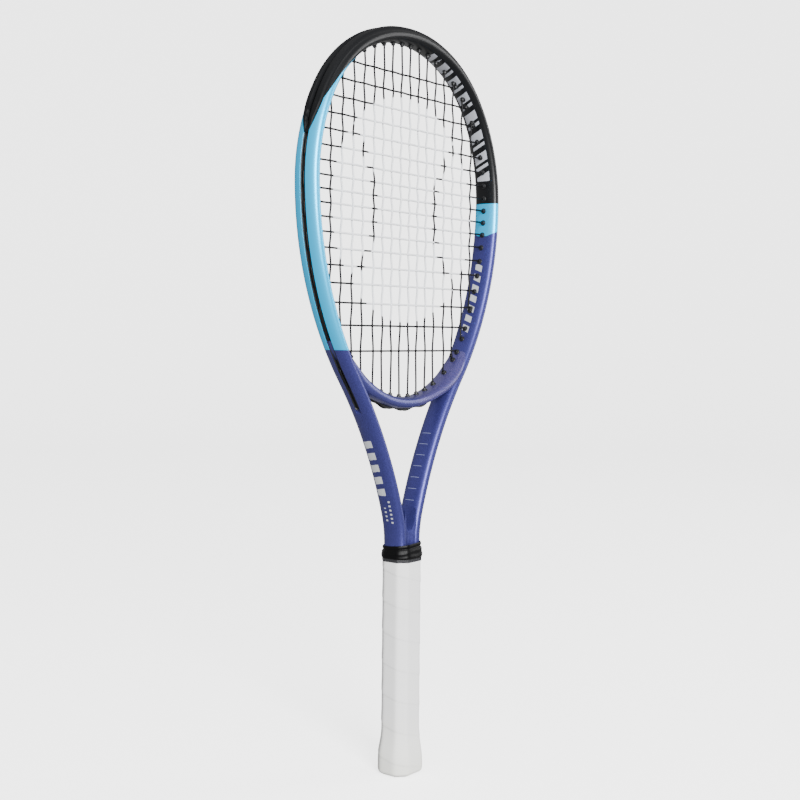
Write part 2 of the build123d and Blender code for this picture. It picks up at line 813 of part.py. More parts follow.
with BuildPart() as finishing_tape:
    tape_bore = handle_clearance / 2
    octagon_stack([
        (tape_bottom_z, grip_width + 2 * tape_thickness, grip_depth + 2 * tape_thickness),
        (grip_top_z, grip_width + 2 * tape_thickness, grip_depth + 2 * tape_thickness),
    ])
    octagon_stack(
        [
            (tape_bottom_z, grip_width + tape_bore, grip_depth + tape_bore),
            (grip_top_z, grip_width + tape_bore, grip_depth + tape_bore),
        ],
        mode=Mode.SUBTRACT,
    )
finish(finishing_tape, "finishing_tape", "black")

# ---- rubber collar ------------------------------------------------------------------------

skirt_bore_width = grip_width + 2 * tape_thickness + 2 * collar_running_gap
skirt_bore_depth = grip_depth + 2 * tape_thickness + 2 * collar_running_gap
lip_bore_width = 2 * leg_x + tube_width + 2 * collar_shaft_gap
lip_bore_depth = beam_ends + 2 * collar_shaft_gap
skirt_height_z = grip_top_z + collar_running_gap
lip_bottom_z = collar_top_z - collar_lip_height


def rounded_stack(stations, corner, mode=Mode.ADD):
    """Loft rounded rectangles through (height, width, depth) stations."""
    for below, above in zip(stations, stations[1:]):
        with BuildSketch(Plane.XY.offset(below[0])) as lower:
            RectangleRounded(below[1], below[2], corner)
        with BuildSketch(Plane.XY.offset(above[0])) as upper:
            RectangleRounded(above[1], above[2], corner)
        loft([lower.sketch, upper.sketch], ruled=True, mode=mode)


with BuildPart() as rubber_collar:
    rounded_stack(
        [
            (collar_bottom_z, skirt_bore_width + 2 * collar_wall, skirt_bore_depth + 2 * collar_wall),
            (skirt_height_z, skirt_bore_width + 2 * collar_wall, skirt_bore_depth + 2 * collar_wall),
            (lip_bottom_z, lip_bore_width + 2 * collar_wall, lip_bore_depth + 2 * collar_wall),
            (collar_top_z, lip_bore_width + 2 * collar_wall, lip_bore_depth + 2 * collar_wall),
        ],
        corner=collar_corner + collar_wall,
    )
    rounded_stack(
        [
            (collar_bottom_z, skirt_bore_width, skirt_bore_depth),
            (skirt_height_z, skirt_bore_width, skirt_bore_depth),
            (lip_bottom_z, lip_bore_width, lip_bore_depth),
            (collar_top_z, lip_bore_width, lip_bore_depth),
        ],
        corner=collar_corner,
        mode=Mode.SUBTRACT,
    )
finish(rubber_collar, "rubber_collar", "black")
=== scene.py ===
"""Looks of the strung tennis racket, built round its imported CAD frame.

Metres, +Z up, the racket stands on its butt: X runs across the head and Y is normal to the
strings. Sizes below are in millimetres and are turned into metres where a mesh is made.
"""

import math

import bpy
import bmesh
import numpy as np
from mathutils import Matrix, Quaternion, Vector


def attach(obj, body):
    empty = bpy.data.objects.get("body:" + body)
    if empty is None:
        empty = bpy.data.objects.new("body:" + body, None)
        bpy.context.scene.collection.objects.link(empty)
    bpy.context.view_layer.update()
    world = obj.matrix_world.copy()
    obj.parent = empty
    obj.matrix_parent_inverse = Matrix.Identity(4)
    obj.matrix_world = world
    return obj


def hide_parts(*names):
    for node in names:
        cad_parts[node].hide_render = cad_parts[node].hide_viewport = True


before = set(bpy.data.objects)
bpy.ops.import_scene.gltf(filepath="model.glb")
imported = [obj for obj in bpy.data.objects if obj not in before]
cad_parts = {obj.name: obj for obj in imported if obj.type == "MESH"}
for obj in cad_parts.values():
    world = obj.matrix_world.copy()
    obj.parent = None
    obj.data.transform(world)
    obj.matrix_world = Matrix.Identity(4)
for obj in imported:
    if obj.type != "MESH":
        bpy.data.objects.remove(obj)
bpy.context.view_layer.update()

MM = 0.001
RACKET = "racket"
COLLAR = "collar"

# ---- sizes of the racket, in millimetres ----------------------------------------------------

HEAD_TOP = 677.5  # top of the tube's centreline
HEAD_ARCS = [(140, 23), (121, 35.5), (152, 32), (290, 35.7)]  # radius, turn in degrees
ARM_ARCS = [(-419, 19.2), (-97, 17.0)]  # a negative radius curves outwards
LEG_END = 206.5  # where the frame goes down into the handle
TUBE_HALF_WIDTH = 6.0
TUBE_SQUARENESS = 2.3  # 2 is an ellipse, more is boxier
BEAM_MIDDLE = 26.0  # depth along Y beside the middle of the head
BEAM_ENDS = 23.4
GROOVE_DEPTH = 3.2
GROOVE_END_ALONG = 431  # distance from the tip, along the frame, where the groove runs out

BRIDGE_LEAVES = 117.5  # turn angle where the bridge's upper face leaves the frame
BRIDGE_CENTRE_Z = 457.0  # the bridge is an arc about this height
BRIDGE_FACE = 106.5  # radius of its upper face
BRIDGE_WIDTH = 10.5
BRIDGE_DEPTH = 21.0
BRIDGE_STRIP_HALF = 50  # half the length of the grommet strip, measured in X

# distance of each main from the middle, and steps down from one cross to the next
MAIN_OFFSETS = [6.4, 19.15, 32.0, 45.0, 58.8, 72.7, 87.6, 103.3]
MOUTH_SHIFT = 2.6  # outer mains lean out this much at their feet
CROSS_TOP = 643.9
CROSS_GAPS = [16.5, 16.0, 14.8, 14.2, 14.0, 13.1, 12.2, 11.8, 11.6, 12.0, 12.6, 13.5, 14.4, 15.3,
              16.8, 19.6, 22.6]
LANE = 0.67  # in the groove, mains keep to +Y and crosses to -Y
LIP = 2.6  # how far a sleeve stands out of the inner wall

# ---- the frame's outline --------------------------------------------------------------------


def chain():
    """The right half of the centreline as (centre x, centre z, radius, first, last, start)."""
    x, z, angle, start = 0.0, HEAD_TOP, 0.0, 0.0
    links = []
    for radius, turn in HEAD_ARCS + ARM_ARCS:
        centre = (x - radius * math.sin(angle), z - radius * math.cos(angle))
        last = angle + math.copysign(math.radians(turn), radius)
        links.append((centre[0], centre[1], radius, angle, last, start))
        x = centre[0] + radius * math.sin(last)
        z = centre[1] + radius * math.cos(last)
        start += abs(radius) * math.radians(turn)
        angle = last
    return links, x, z, start


LINKS, LEG_X, LEG_TOP, LEG_START = chain()
ALONG_END = LEG_START + LEG_TOP - LEG_END


def outline(along):
    """Centreline point and outward normal at a signed distance from the tip (right is +)."""
    side = -1.0 if along < 0 else 1.0
    distance = abs(along)
    if distance >= LEG_START:
        return side * LEG_X, LEG_TOP - (distance - LEG_START), side, 0.0
    link = [link for link in LINKS if link[5] <= distance][-1]
    angle = link[3] + (distance - link[5]) / link[2]
    x = link[0] + link[2] * math.sin(angle)
    z = link[1] + link[2] * math.cos(angle)
    return side * x, z, side * math.sin(angle), math.cos(angle)


def smooth(value):
    """Ease from 0 to 1."""
    value = min(max(value, 0.0), 1.0)
    return value * value * (3 - 2 * value)


def beam_half(z):
    """Half the tube's depth along Y at a height: deepest beside the middle of the head."""
    slim, deep = BEAM_ENDS / 2, BEAM_MIDDLE / 2
    if z < 490:
        return slim + (deep - slim) * smooth((z - 300) / 190)
    return slim + (deep - slim) * smooth((697 - z) / 207)


# ---- mesh helpers -----------------------------------------------------------------------------


def new_object(name, mesh, material=None):
    """Put a finished mesh into the scene."""
    piece = bpy.data.objects.new(name, mesh)
    bpy.context.scene.collection.objects.link(piece)
    if material is not None:
        mesh.materials.append(material)
    return piece


def tube_mesh(name, rings, joined=False, fields=None):
    """Skin rings of points, in millimetres, into a closed mesh: its ends capped, or joined."""
    count, sides = len(rings), len(rings[0])
    points = [(x * MM, y * MM, z * MM) for ring in rings for x, y, z in ring]
    faces = []
    for row in range(count if joined else count - 1):
        below, above = row * sides, (row + 1) % count * sides
        for side in range(sides):
            after = (side + 1) % sides
            faces.append((below + side, below + after, above + after, above + side))
    if not joined:
        faces.append(tuple(reversed(range(sides))))
        faces.append(tuple(range((count - 1) * sides, count * sides)))
    mesh = bpy.data.meshes.new(name)
    mesh.from_pydata(points, [], faces)
    for key, values in (fields or {}).items():
        layer = mesh.attributes.new(key, "FLOAT", "POINT")
        layer.data.foreach_set("value", [value for ring in values for value in ring])
    outward(mesh)
    mesh.shade_smooth()
    return mesh


def outward(mesh):
    """Turn every face to point outwards."""
    work = bmesh.new()
    work.from_mesh(mesh)
    bmesh.ops.recalc_face_normals(work, faces=work.faces)
    work.to_mesh(mesh)
    work.free()


def sharp_edges(mesh, degrees):
    """Shade faces that meet at more than this angle as a crisp edge."""
    mesh.set_sharp_from_angle(angle=math.radians(degrees))


def place(along, out, y):
    """World point from outline coordinates: along the frame, outward from its centre, and Y."""
    x, z, normal_x, normal_z = outline(along)
    return x + normal_x * out, y, z + normal_z * out


def ring_round(sides, height, reach_toward):
    """Ring of points round the upright axis, its reach worked out for each direction."""
    turns = [2 * math.pi * side / sides for side in range(sides)]
    reaches = [reach_toward(turn) for turn in turns]
    return [(reach * math.cos(turn), reach * math.sin(turn), height)
            for turn, reach in zip(turns, reaches)]


# ---- materials: one node-adding function and one colour function ------------------------------


def add_node(tree, kind, inputs=None, **settings):
    """Add a node, set its properties, then fill its inputs with values or links."""
    node = tree.nodes.new(kind)
    for key, value in settings.items():
        setattr(node, key, value)
    for key, value in (inputs or {}).items():
        socket = node.inputs[key]
        if isinstance(value, bpy.types.NodeSocket):
            tree.links.new(value, socket)
        else:
            socket.default_value = value
    return node


def srgb(code):
    """A hex colour as linear RGBA."""
    channels = [int(code[i : i + 2], 16) / 255 for i in (1, 3, 5)]
    linear = [c / 12.92 if c <= 0.04045 else ((c + 0.055) / 1.055) ** 2.4 for c in channels]
    return (*linear, 1.0)


def new_material(name, **shader):
    """A material with one Principled shader; returns it, its tree and the shader node."""
    material = bpy.data.materials.new(name)
    material.use_nodes = True
    tree = material.node_tree
    tree.nodes.clear()
    surface = add_node(tree, "ShaderNodeBsdfPrincipled", shader)
    add_node(tree, "ShaderNodeOutputMaterial", {"Surface": surface.outputs[0]})
    return material, tree, surface


def band(tree, value, low, high, soft):
    """1 where value lies between low and high, easing over soft at both edges."""
    rise = add_node(tree, "ShaderNodeMapRange", {
        "Value": value, "From Min": low - soft, "From Max": low + soft})
    fall = add_node(tree, "ShaderNodeMapRange", {
        "Value": value, "From Min": high - soft, "From Max": high + soft,
        "To Min": 1.0, "To Max": 0.0})
    return add_node(tree, "ShaderNodeMath", {0: rise.outputs[0], 1: fall.outputs[0]},
                    operation="MULTIPLY").outputs[0]


def coats(tree, undercoat, *layers):
    """Spray colours over an undercoat, each through its own mask."""
    colour = undercoat
    for paint, mask in layers:
        mix = add_node(tree, "ShaderNodeMix", data_type="RGBA")
        for socket, value in ((0, mask), (6, colour), (7, paint)):
            if isinstance(value, bpy.types.NodeSocket):
                tree.links.new(value, mix.inputs[socket])
            else:
                mix.inputs[socket].default_value = value
        colour = mix.outputs[2]
    return colour


def grain_bump(tree, size_mm, height_mm, strength=1.0, detail=2.0):
    """Fine moulded or sprayed grain, sized in millimetres on the piece itself."""
    place_on = add_node(tree, "ShaderNodeTexCoord")
    noise = add_node(tree, "ShaderNodeTexNoise", {
        "Vector": place_on.outputs["Object"], "Scale": 1 / (size_mm * MM), "Detail": detail})
    bump = add_node(tree, "ShaderNodeBump", {
        "Height": noise.outputs["Fac"], "Strength": strength, "Distance": height_mm * MM})
    return bump.outputs["Normal"], noise.outputs["Fac"]


def finish_surface(tree, surface, colour, grain, roughness):
    """Join a coat's colour, grain and uneven gloss to its shader."""
    normal, mottle = grain
    rough = add_node(tree, "ShaderNodeMapRange", {
        "Value": mottle, "To Min": roughness[0], "To Max": roughness[1]})
    tree.links.new(colour, surface.inputs["Base Color"])
    tree.links.new(rough.outputs[0], surface.inputs["Roughness"])
    tree.links.new(normal, surface.inputs["Normal"])


def field(tree, name):
    """A number stored on the piece's points, in millimetres."""
    return add_node(tree, "ShaderNodeAttribute", attribute_name=name).outputs["Fac"]


def height_on(tree):
    """Height above the butt, in metres."""
    place_on = add_node(tree, "ShaderNodeTexCoord")
    return add_node(tree, "ShaderNodeSeparateXYZ", {0: place_on.outputs["Object"]}).outputs["Z"]


CYAN = srgb("#00c2fa")
VIOLET = srgb("#44448a")
VIOLET_DEEP = srgb("#303064")
BLACK_SATIN = srgb("#050609")
MARK_SILVER = srgb("#b2b4bc")
MARK_WHITE = srgb("#e4e7ee")
MARK_PALE = srgb("#8f95c0")
PINSTRIPE = srgb("#7d6a9c")

# heights above the butt, in metres, where the cyan and the black begin on each half of the hoop
CYAN_LEFT_FROM, CYAN_RIGHT_FROM = 0.394, 0.5064
BLACK_LEFT_FROM, BLACK_RIGHT_FROM = 0.627, 0.5384
ABOVE_TIP = 0.9
PAINT_EDGE = 0.0003

LACQUER_GRAIN = 0.9, 0.006, 0.35  # size and height in millimetres, and strength
LACQUER_ROUGHNESS = 0.34, 0.46
FLAKE_METALLIC = 0.62
FLAKE_SIZE = 0.35  # millimetres


def flake_colour(tree, deep, bright, size_mm):
    """Metallic flake: the colour shifts a little from flake to flake."""
    place_on = add_node(tree, "ShaderNodeTexCoord")
    flakes = add_node(tree, "ShaderNodeTexVoronoi", {
        "Vector": place_on.outputs["Object"], "Scale": 1 / (size_mm * MM)})
    amount = add_node(tree, "ShaderNodeSeparateColor", {0: flakes.outputs["Color"]})
    return coats(tree, deep, (bright, amount.outputs[0]))


def make_lacquered_carbon():
    """Carbon fibre tube, sprayed with metallic base coats and printed marks under clear lacquer.

    Flake in the violet and cyan gives a soft sheen, and the black is satin.
    """
    material, tree, surface = new_material(
        "lacquered_carbon_fibre",
        **{"Coat Weight": 0.1, "Coat Roughness": 0.2, "Specular IOR Level": 0.3})
    x_right = add_node(tree, "ShaderNodeMath", {0: field(tree, "along"), 1: 0.0},
                       operation="GREATER_THAN").outputs[0]
    x_left = add_node(tree, "ShaderNodeMath", {0: 1.0, 1: x_right}, operation="SUBTRACT").outputs[0]
    z = height_on(tree)
    along, around, outward_mm = (field(tree, name) for name in ("along", "around", "outward"))

    # the coats end on straight masked lines, and one of them rises over the front and back faces
    faced = add_node(tree, "ShaderNodeMath", {0: around}, operation="ABSOLUTE").outputs[0]
    shoulder = add_node(tree, "ShaderNodeMapRange", {
        "Value": faced, "From Min": 5.0, "From Max": 20.0, "To Min": 0.0, "To Max": 0.006})
    leaned = add_node(tree, "ShaderNodeMath", {0: z, 1: shoulder.outputs[0]},
                      operation="SUBTRACT").outputs[0]
    tipped = add_node(tree, "ShaderNodeMath", {0: outward_mm, 1: 0.0050, 2: z},
                      operation="MULTIPLY_ADD").outputs[0]
    lines = (
        (z, CYAN_LEFT_FROM, x_left), (leaned, CYAN_RIGHT_FROM, x_right),
        (tipped, BLACK_LEFT_FROM, x_left), (z, BLACK_RIGHT_FROM, x_right))
    cyan_left, cyan_right, black_left, black_right = (
        add_node(tree, "ShaderNodeMath", {
            0: band(tree, level, low, ABOVE_TIP, PAINT_EDGE), 1: half},
            operation="MULTIPLY").outputs[0]
        for level, low, half in lines)

    # printed marks: rows of slanted blocks along the frame, and fine scale ticks on one arm
    def blocks(pitch, share, reach, first, last, lean=0.3, row=0.0, across=around):
        """Slanted blocks in a row along the frame, between two distances from the tip."""
        slanted = add_node(tree, "ShaderNodeMath", {0: across, 1: lean, 2: along},
                           operation="MULTIPLY_ADD")
        from_first = add_node(tree, "ShaderNodeMath", {0: slanted.outputs[0], 1: first},
                              operation="SUBTRACT")
        turn = add_node(tree, "ShaderNodeMath", {0: from_first.outputs[0], 1: pitch},
                        operation="FLOORED_MODULO")
        on = band(tree, turn.outputs[0], 0.2, pitch * share, 0.12)
        within = band(tree, across, row - reach, row + reach, 0.12)
        there = band(tree, along, first, last, 0.2)
        both = add_node(tree, "ShaderNodeMath", {0: on, 1: within}, operation="MULTIPLY")
        return add_node(tree, "ShaderNodeMath", {0: both.outputs[0], 1: there},
                        operation="MULTIPLY").outputs[0]

    outside = field(tree, "outside")
    marks = [
        (MARK_SILVER, blocks(21.6, 0.44, 7.4, 34.0, 192.0, lean=-0.45)),
        (MARK_SILVER, blocks(21.6, 0.16, 7.4, 46.6, 192.0, lean=-0.45)),
        (MARK_WHITE, blocks(10.9, 0.62, 4.0, 277.0, 353.0, lean=0.4)),
        (MARK_WHITE, blocks(12.4, 0.60, 4.2, -517.0, -458.0, 0.25, 3.0, outside)),
        (MARK_WHITE, blocks(4.2, 0.45, 1.1, -545.0, -521.0, 0.0, -2.6, outside)),
        (MARK_WHITE, blocks(4.2, 0.45, 1.1, -543.0, -529.0, 0.0, 1.6, outside)),
        (MARK_PALE, blocks(10.9, 0.07, 5.0, 462.5, 529.0, 0.0, 0.5)),
    ]

    violet = flake_colour(tree, VIOLET_DEEP, VIOLET, FLAKE_SIZE)
    colour = coats(
        tree, violet, (CYAN, cyan_left), (CYAN, cyan_right), (BLACK_SATIN, black_left),
        (BLACK_SATIN, black_right), *marks)
    black = add_node(tree, "ShaderNodeMath", {0: black_left, 1: black_right},
                     operation="MAXIMUM").outputs[0]
    shine = add_node(tree, "ShaderNodeMapRange", {
        "Value": black, "To Min": FLAKE_METALLIC, "To Max": 0.12})
    tree.links.new(shine.outputs[0], surface.inputs["Metallic"])
    finish_surface(tree, surface, colour, grain_bump(tree, *LACQUER_GRAIN), LACQUER_ROUGHNESS)
    return material


def make_bridge_lacquer():
    """The same violet flake coat on the bridge, with fine pinstripes printed on a slant."""
    material, tree, surface = new_material(
        "pinstriped_carbon_fibre",
        **{"Coat Weight": 0.25, "Coat Roughness": 0.2, "Metallic": FLAKE_METALLIC})
    slanted = add_node(tree, "ShaderNodeMath", {
        0: field(tree, "around"), 1: 1.6, 2: field(tree, "along")},
        operation="MULTIPLY_ADD").outputs[0]
    turn = add_node(tree, "ShaderNodeMath", {0: slanted, 1: 2.6}, operation="FLOORED_MODULO")
    stripe = band(tree, turn.outputs[0], 0.3, 0.75, 0.12)
    faces = band(tree, field(tree, "along"), 12.0, 200.0, 6.0)
    printed = add_node(tree, "ShaderNodeMath", {0: stripe, 1: faces}, operation="MULTIPLY")
    violet = flake_colour(tree, VIOLET_DEEP, VIOLET, FLAKE_SIZE)
    colour = coats(tree, violet, (PINSTRIPE, printed.outputs[0]))
    finish_surface(tree, surface, colour, grain_bump(tree, *LACQUER_GRAIN), LACQUER_ROUGHNESS)
    return material


def moulded(name, dark, light, roughness, grain_mm, height_mm, strength=0.6, **shader):
    """Injection-moulded or foamed polymer: fine spark-eroded grain and slightly uneven gloss."""
    material, tree, surface = new_material(name, **shader)
    grain = grain_bump(tree, grain_mm, height_mm, strength)
    colour = coats(tree, srgb(dark), (srgb(light), grain[1]))
    finish_surface(tree, surface, colour, grain, roughness)
    return material


STENCIL_HEIGHT = 0.521  # its centre above the butt, in metres
STENCIL_RADIUS = 0.102
SEAM_CENTRE = 0.128  # each seam is an arc about a point this far out to the side
SEAM_RADII = 0.080, 0.088


def make_string_polyester():
    """Extruded polyester monofilament, dull charcoal, with a white stencil rubbed on the bed."""
    material, tree, surface = new_material(
        "extruded_polyester_string", **{"Roughness": 0.5, "Specular IOR Level": 0.2})
    place_on = add_node(tree, "ShaderNodeTexCoord")
    centred = add_node(tree, "ShaderNodeVectorMath", {
        0: place_on.outputs["Object"], 1: (0.0, 0.0, STENCIL_HEIGHT)},
        operation="SUBTRACT")
    radius = add_node(tree, "ShaderNodeVectorMath", {0: centred.outputs[0]}, operation="LENGTH")
    disc = band(tree, radius.outputs["Value"], -1.0, STENCIL_RADIUS, 0.0006)
    seams = []
    for side in (-1, 1):
        seam_centre = add_node(tree, "ShaderNodeVectorMath", {
            0: place_on.outputs["Object"], 1: (side * SEAM_CENTRE, 0.0, STENCIL_HEIGHT)},
            operation="SUBTRACT")
        seam = add_node(tree, "ShaderNodeVectorMath", {0: seam_centre.outputs[0]},
                        operation="LENGTH")
        seams.append(band(tree, seam.outputs["Value"], *SEAM_RADII, 0.0006))
    both_seams = add_node(tree, "ShaderNodeMath", {0: seams[0], 1: seams[1]}, operation="MAXIMUM")
    solid = add_node(tree, "ShaderNodeMath", {0: 1.0, 1: both_seams.outputs[0]},
                     operation="SUBTRACT")
    ink = add_node(tree, "ShaderNodeMath", {0: disc, 1: solid.outputs[0]}, operation="MULTIPLY")
    fibre = add_node(tree, "ShaderNodeTexNoise", {
        "Vector": place_on.outputs["Object"], "Scale": 1 / (1.2 * MM), "Detail": 2.0})
    body = coats(tree, srgb("#060607"), (srgb("#111113"), fibre.outputs["Fac"]))
    worn = coats(tree, srgb("#f4f5f7"), (srgb("#d9dbe0"), fibre.outputs["Fac"]))
    tree.links.new(coats(tree, body, (worn, ink.outputs[0])), surface.inputs["Base Color"])
    return material


def make_grip_leather():
    """Coated polyurethane strip on felt: soft, matt, slightly tacky, creamier by the butt."""
    material, tree, surface = new_material(
        "polyurethane_grip_strip", **{"Sheen Weight": 0.12, "Sheen Roughness": 0.5})
    grain = grain_bump(tree, 0.7, 0.05, 0.5, detail=4.0)
    soiled = add_node(tree, "ShaderNodeMapRange", {
        "Value": height_on(tree), "From Min": 0.0, "From Max": 0.06, "To Min": 0.8, "To Max": 0.0})
    clean = coats(tree, srgb("#e9e9e9"), (srgb("#f2f2f1"), grain[1]))
    colour = coats(tree, clean, (srgb("#efefe6"), soiled.outputs[0]))
    finish_surface(tree, surface, colour, grain, (0.55, 0.72))
    return material


def make_staple_steel():
    """Drawn and zinc-plated steel wire: bright, with a fine grain."""
    material, tree, surface = new_material("drawn_zinc_plated_steel", Metallic=1.0)
    grain = grain_bump(tree, 0.25, 0.01, 0.5)
    colour = coats(tree, srgb("#b9bcc0"), (srgb("#d0d2d4"), grain[1]))
    finish_surface(tree, surface, colour, grain, (0.24, 0.42))
    return material


lacquered_carbon = make_lacquered_carbon()
bridge_lacquer = make_bridge_lacquer()
guard_nylon = moulded("moulded_nylon_guard", "#050608", "#0b0c0f", (0.5, 0.64), 0.5, 0.03,
                      **{"Specular IOR Level": 0.15})
grommet_nylon = moulded("moulded_nylon_grommet", "#08090b", "#121316", (0.4, 0.55), 0.4, 0.02)
string_polyester = make_string_polyester()
grip_leather = make_grip_leather()
collar_rubber = moulded(
    "moulded_natural_rubber", "#030304", "#070708", (0.34, 0.5), 1.4, 0.04, 0.4,
    **{"Specular IOR Level": 0.12})
cap_nylon = moulded("moulded_nylon_butt_cap", "#e3e3e0", "#ededea", (0.45, 0.6), 0.5, 0.02)
badge_acrylic = moulded("printed_acrylic_badge", "#2c2f6b", "#3d4188", (0.18, 0.3), 0.8, 0.01, 0.4,
                        **{"Coat Weight": 0.6, "Coat Roughness": 0.08})
staple_steel = make_staple_steel()
pallet_foam = moulded("cast_polyurethane_pallet", "#c9b98e", "#dccfa8", (0.7, 0.85), 0.8, 0.08)
plug_foam = moulded("cut_polyethylene_foam", "#d8d8d4", "#ecece8", (0.75, 0.9), 0.9, 0.1)
finishing_film = moulded("printed_vinyl_film", "#1a1a1d", "#26262a", (0.2, 0.35), 1.0, 0.01, 0.4)


# ---- carbon frame: hoop and arms, one hairpin tube ----------------------------------------------

GROOVE_PROFILE = [  # y, share of the groove's depth
    (0.8, 1.0), (2.1, 1.0), (2.55, 0.85), (2.68, 0.15), (2.95, 0.0)]


def grooved_section(half_width, half_depth, squareness, groove):
    """Half the ring of points round a tube, as (outward, y), groove first and inner wall last."""
    reach = [(1 - (y / half_depth) ** squareness) ** (1 / squareness) for y, _ in GROOVE_PROFILE]
    ring = [
        (half_width * share - groove * GROOVE_DEPTH * sunk, y)
        for share, (y, sunk) in zip(reach, GROOVE_PROFILE)
    ]
    first = math.asin((GROOVE_PROFILE[-1][0] / half_depth) ** (squareness / 2))
    steps = 26
    for step in range(1, steps + 1):
        turn = first + (math.pi - first) * step / steps
        across, up = math.cos(turn), math.sin(turn)
        ring.append((
            half_width * math.copysign(abs(across) ** (2 / squareness), across),
            half_depth * abs(up) ** (2 / squareness),
        ))
    return ring


def full_section(half):
    """Both halves of a section, and each point's distance round it from the inner wall."""
    ring = half + [(out, -y) for out, y in reversed(half[:-1])]
    inner = len(half) - 1
    around = [0.0] * len(ring)
    for i in range(inner - 1, -1, -1):
        around[i] = around[i + 1] + math.dist(ring[i], ring[i + 1])
        around[len(ring) - 1 - i] = -around[i]
    return ring, around


def make_frame_shell():
    """Sweep the section along the hairpin, easing the groove out on the arms."""
    step = 1.6
    count = round(2 * ALONG_END / step)
    rings, fields = [], {"along": [], "around": [], "outside": [], "outward": []}
    for i in range(count + 1):
        along = -ALONG_END + 2 * ALONG_END * i / count
        z = outline(along)[1]
        groove = math.sqrt(smooth((GROOVE_END_ALONG - abs(along)) / 4))
        ring, around = full_section(grooved_section(
            TUBE_HALF_WIDTH, beam_half(z), TUBE_SQUARENESS, groove))
        rings.append([place(along, out, y) for out, y in ring])
        fields["along"].append([along] * len(ring))
        fields["around"].append(around)
        fields["outside"].append([math.copysign(around[0] - abs(far), far) for far in around])
        fields["outward"].append([out for out, y in ring])
    mesh = tube_mesh("frame_shell", rings, fields=fields)
    sharp_edges(mesh, 42)
    return new_object("frame_shell", mesh, lacquered_carbon)


def make_shaft_web():
    """Fill between the two legs, with a U-shaped top, as one smooth bay on each face."""
    half_span, low = LEG_X - 2.0, LEG_END
    rings, fields = [], {"along": [], "around": [], "outside": [], "outward": []}
    columns = 25
    for i in range(columns):
        x = half_span * (2 * i / (columns - 1) - 1)
        top = 227 + 22 * (abs(x) / half_span) ** 2.2
        deep = 7.6 + 2.6 * smooth(abs(x) / half_span)
        corners = [(deep, low)] + [(deep, low + (top - low) * t) for t in (0.3, 0.6, 0.8, 0.9)]
        corners += [
            (deep * math.cos(turn), top - 4 + 4 * math.sin(turn))
            for turn in (math.radians(degree) for degree in range(15, 90, 15))
        ]
        loop = corners + [(0, top)] + [(-y, z) for y, z in reversed(corners)]
        rings.append([(x, y, z) for y, z in loop])
        fields["along"].append([math.copysign(ALONG_END, x)] * len(loop))
        fields["around"].append([40.0] * len(loop))
        fields["outside"].append([40.0] * len(loop))
        fields["outward"].append([-TUBE_HALF_WIDTH] * len(loop))
    mesh = tube_mesh("shaft_web", rings, fields=fields)
    sharp_edges(mesh, 50)
    return new_object("shaft_web", mesh, lacquered_carbon)


def place_on_bridge(angle, radius, y):
    """World point at an angle from straight down round the bridge's centre."""
    return radius * math.sin(angle), y, BRIDGE_CENTRE_Z - radius * math.cos(angle)


def make_throat_bridge():
    """Sweep the bridge below the head, its ends widening into fillets inside the arms."""
    reach = math.radians(62)
    rings, fields = [], {"along": [], "around": [], "outward": []}
    count = 130
    for i in range(count + 1):
        angle = reach * (2 * i / count - 1)
        turned = math.degrees(abs(angle))
        crotch = smooth((turned - 18) / 18)
        sink = 1.6 * smooth((turned - 44) / 18)
        width = BRIDGE_WIDTH + 2.6 * crotch - 3.0 * smooth((turned - 36) / 14)
        deep = BRIDGE_DEPTH / 2 + 1.3 * smooth((turned - 8) / 26) - 1.5 * smooth((turned - 40) / 12)
        groove = smooth((BRIDGE_FACE * math.radians(28.5) - BRIDGE_FACE * abs(angle)) / 6)
        ring, around = full_section(grooved_section(width / 2, deep, 2.6, groove))
        radius = BRIDGE_FACE + sink + width / 2
        rings.append([place_on_bridge(angle, radius + out, y) for out, y in ring])
        fields["along"].append([BRIDGE_FACE * angle] * len(ring))
        fields["around"].append(around)
        fields["outward"].append([out for out, y in ring])
    mesh = tube_mesh("bridge_shell", rings, fields=fields)
    sharp_edges(mesh, 42)
    return new_object("bridge_shell", mesh, bridge_lacquer)


# ---- bumper: moulded guard over the tip ---------------------------------------------------------

BUMPER_END = 179.0  # distance from the tip to the end of each wing, along the frame
BUMPER_PROUD = 1.7


def bumper_reach(distance):
    """Half the guard's depth along Y at a distance from the tip: its wings close to a point."""
    wing = 10.2 - 0.8 * smooth(distance / 60) - 0.3 * smooth((distance - 90) / 50)
    closing = min(max((distance - 146) / (BUMPER_END - 146), 0.0), 1.0)
    return 2.3 + (wing - 2.3) * (1 - closing**2)


